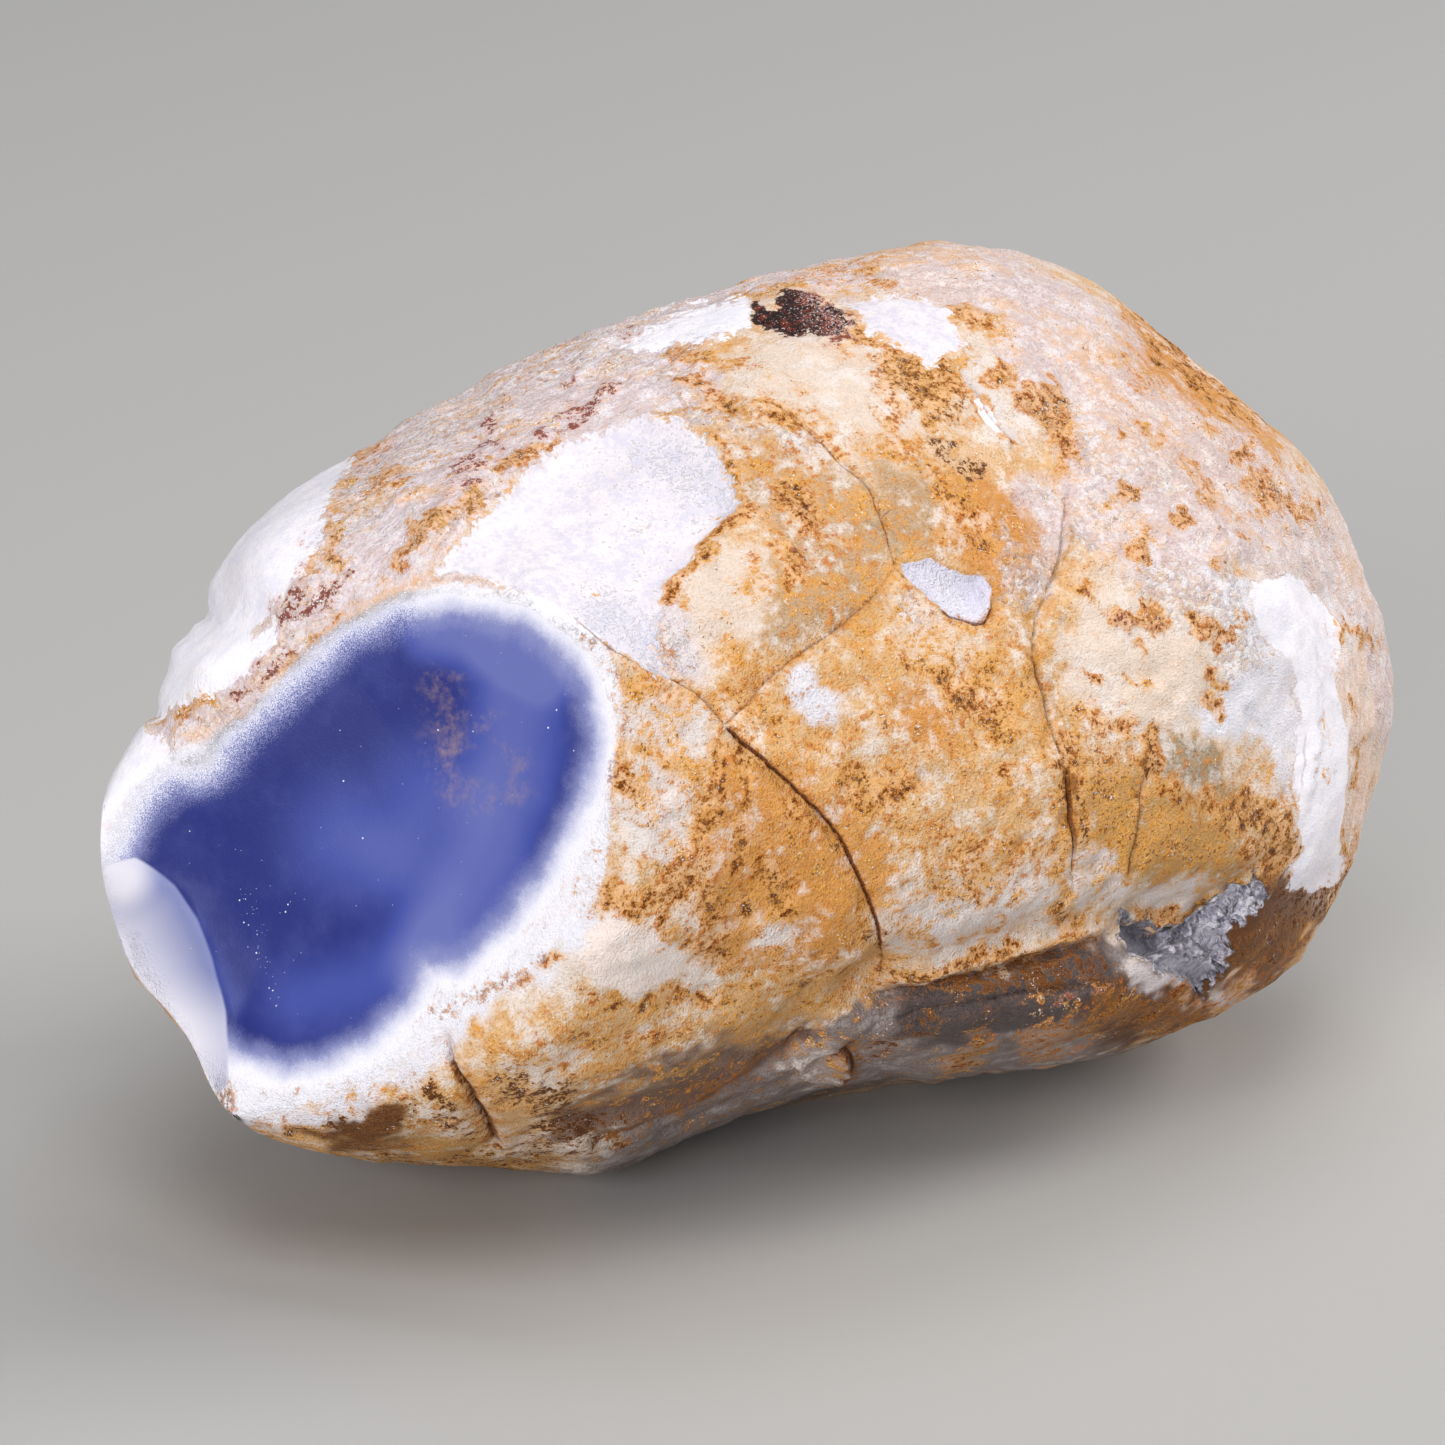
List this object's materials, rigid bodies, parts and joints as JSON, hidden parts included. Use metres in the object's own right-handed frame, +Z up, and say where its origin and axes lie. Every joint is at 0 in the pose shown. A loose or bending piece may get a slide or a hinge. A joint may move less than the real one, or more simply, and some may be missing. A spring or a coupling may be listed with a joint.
{
  "type": "rough chalcedony nodule",
  "caption": "Rough chalcedony nodule lying on its side, with a rusty white rind, fine cracks and a broken end that shows the blue inside; a collector's or display stone.",
  "frame": {"origin": "on the table under the middle of the stone's box", "axes": "+Z up, +X along the stone from the broken end to the thick end, +Y away from the side that shows"},
  "size_m": [0.0792, 0.0506, 0.0473],
  "materials": {
    "chalcedony": "matt white and rust-orange rind, pinkish granular quartz along the top, waxy blue-violet chalcedony on the broken end"
  },
  "bodies": {
    "root": {"chalcedony_nodule": "chalcedony"}
  },
  "joints": []
}
